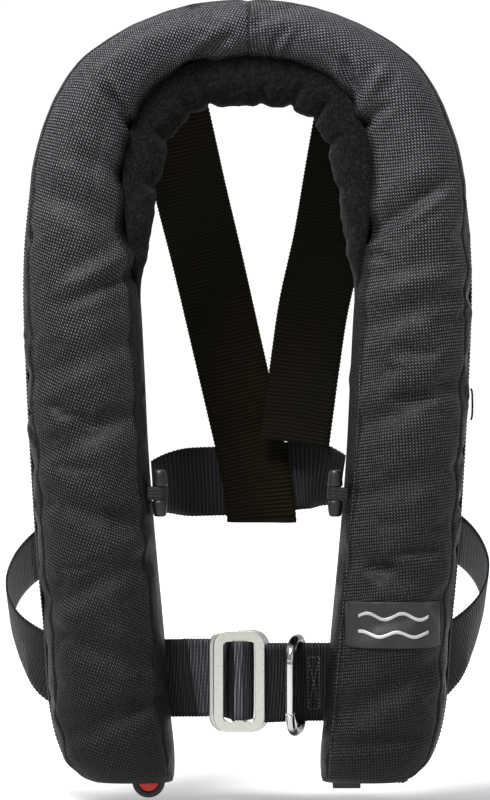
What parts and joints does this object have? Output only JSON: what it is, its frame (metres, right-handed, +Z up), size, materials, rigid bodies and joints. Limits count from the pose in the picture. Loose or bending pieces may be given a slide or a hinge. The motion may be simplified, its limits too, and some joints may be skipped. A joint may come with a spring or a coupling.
{
  "type": "inflatable life jacket",
  "caption": "Packed horseshoe life jacket: folded bladder and gas inflator in a zipped nylon cover, fleece collar, webbing harness, steel buckle and tether ring.",
  "frame": {"origin": "middle of the collar's inner edge, where it rests on the neck", "axes": "+X to the right in the front view (the wearer's left), +Y towards the wearer's back, +Z up along the jacket"},
  "size_m": [0.3318, 0.1688, 0.531],
  "materials": {
    "nylon": "coarse ballistic nylon, slight sheen",
    "fleece": "matt fleece",
    "webbing": "ribbed polyester webbing",
    "elastic": "ribbed elastic",
    "steel": "satin stainless",
    "ring_steel": "polished",
    "black_plastic": "satin moulded",
    "zip_plastic": "matt moulded",
    "zip_metal": "black enamel",
    "label_rubber": "matt with silver print",
    "bladder_fabric": "coated, satin",
    "reflective": "retroreflective tape",
    "inflator_plastic": "moulded",
    "cartridge_plastic": "moulded",
    "gas_paint": "zinc grey paint",
    "red_plastic": "moulded",
    "red_cord": "braided",
    "handle_rubber": "moulded",
    "whistle_plastic": "moulded"
  },
  "bodies": {
    "jacket": {"front_cover_left": "nylon", "front_cover_right": "nylon", "back_cover": "nylon", "fleece_collar": "fleece", "zip_left": "zip_plastic", "zip_right": "zip_plastic", "label_patch": "label_rubber", "edge_tab": "webbing", "bladder": "bladder_fabric", "reflective_patches": "reflective", "inflator_body": "inflator_plastic", "lever_pin": "steel", "oral_tube": "inflator_plastic", "whistle_cord": "red_cord", "lifting_loop": "webbing", "back_strap_left": "webbing", "back_strap_right": "webbing", "back_belt": "webbing", "waist_belt_left": "webbing", "waist_belt_right": "webbing", "belt_keeper_left": "webbing", "belt_keeper_right": "webbing", "buckle_ring": "steel", "elastic_loop_left": "elastic", "elastic_loop_right": "elastic"},
    "zip_pull": {"zip_slider": "zip_metal"},
    "gas_bottle": {"co2_cylinder": "gas_paint"},
    "cartridge": {"sensor_cartridge": "cartridge_plastic"},
    "lever": {"inflator_lever": "red_plastic"},
    "handle": {"lanyard": "red_cord", "pull_handle": "handle_rubber", "pull_handle_inlay": "red_plastic"},
    "tube_valve": {"oral_valve": "cartridge_plastic"},
    "tube_cap": {"oral_tube_cap": "inflator_plastic"},
    "whistle_body": {"whistle": "whistle_plastic"},
    "plate": {"buckle_plate": "steel"},
    "tether_ring": {"harness_ring": "ring_steel"},
    "toggle_l": {"toggle_left": "black_plastic"},
    "toggle_r": {"toggle_right": "black_plastic"}
  },
  "joints": [
    {"name": "zip_slide", "type": "slide", "parent": "jacket", "child": "zip_pull", "axis": [1, 0, 0], "range_m": [0, 0.028]},
    {"name": "gas_bottle_turn", "type": "hinge", "parent": "jacket", "child": "gas_bottle", "pos_m": [-0.106, -0.009, -0.347], "axis": [0, 0, 1], "range_deg": [0, 1080]},
    {"name": "cartridge_turn", "type": "hinge", "parent": "jacket", "child": "cartridge", "pos_m": [-0.106, -0.009, -0.392], "axis": [0, 0, 1], "range_deg": [-360, 0]},
    {"name": "handle_pull", "type": "slide", "parent": "jacket", "child": "handle", "axis": [0, 0, -1], "range_m": [0, 0.018]},
    {"name": "lever_turn", "type": "hinge", "parent": "jacket", "child": "lever", "pos_m": [-0.084, -0.009, -0.368], "axis": [0, 1, 0], "range_deg": [0, 60]},
    {"name": "valve_press", "type": "slide", "parent": "jacket", "child": "tube_valve", "axis": [0, 0, -1], "range_m": [0, 0.003], "stiffness_N_per_m": 200},
    {"name": "tube_cap_pull", "type": "slide", "parent": "jacket", "child": "tube_cap", "axis": [0, 0, 1], "range_m": [0, 0.02]},
    {"name": "whistle_swing", "type": "hinge", "parent": "jacket", "child": "whistle_body", "pos_m": [0.122, -0.008, -0.208], "axis": [0, 1, 0], "range_deg": [-8, 8]},
    {"name": "buckle_plate_tilt", "type": "hinge", "parent": "jacket", "child": "plate", "pos_m": [-0.0057, 0.0129, -0.3857], "axis": [0, 0, 1], "range_deg": [-10, 10]},
    {"name": "tether_ring_swing", "type": "hinge", "parent": "jacket", "child": "tether_ring", "pos_m": [0.037, 0.04, -0.3898], "axis": [0, 0, 1], "range_deg": [-18, 30]},
    {"name": "toggle_left_turn", "type": "hinge", "parent": "jacket", "child": "toggle_l", "pos_m": [-0.0582, -0.004, -0.2587], "axis": [0, 0, 1], "range_deg": [-90, 90]},
    {"name": "toggle_right_turn", "type": "hinge", "parent": "jacket", "child": "toggle_r", "pos_m": [0.0582, -0.004, -0.2587], "axis": [0, 0, 1], "range_deg": [-90, 90]}
  ],
  "couplings": [
    {"joint": "lever_turn", "follows": "handle_pull", "rad_per_m": 55.556}
  ]
}
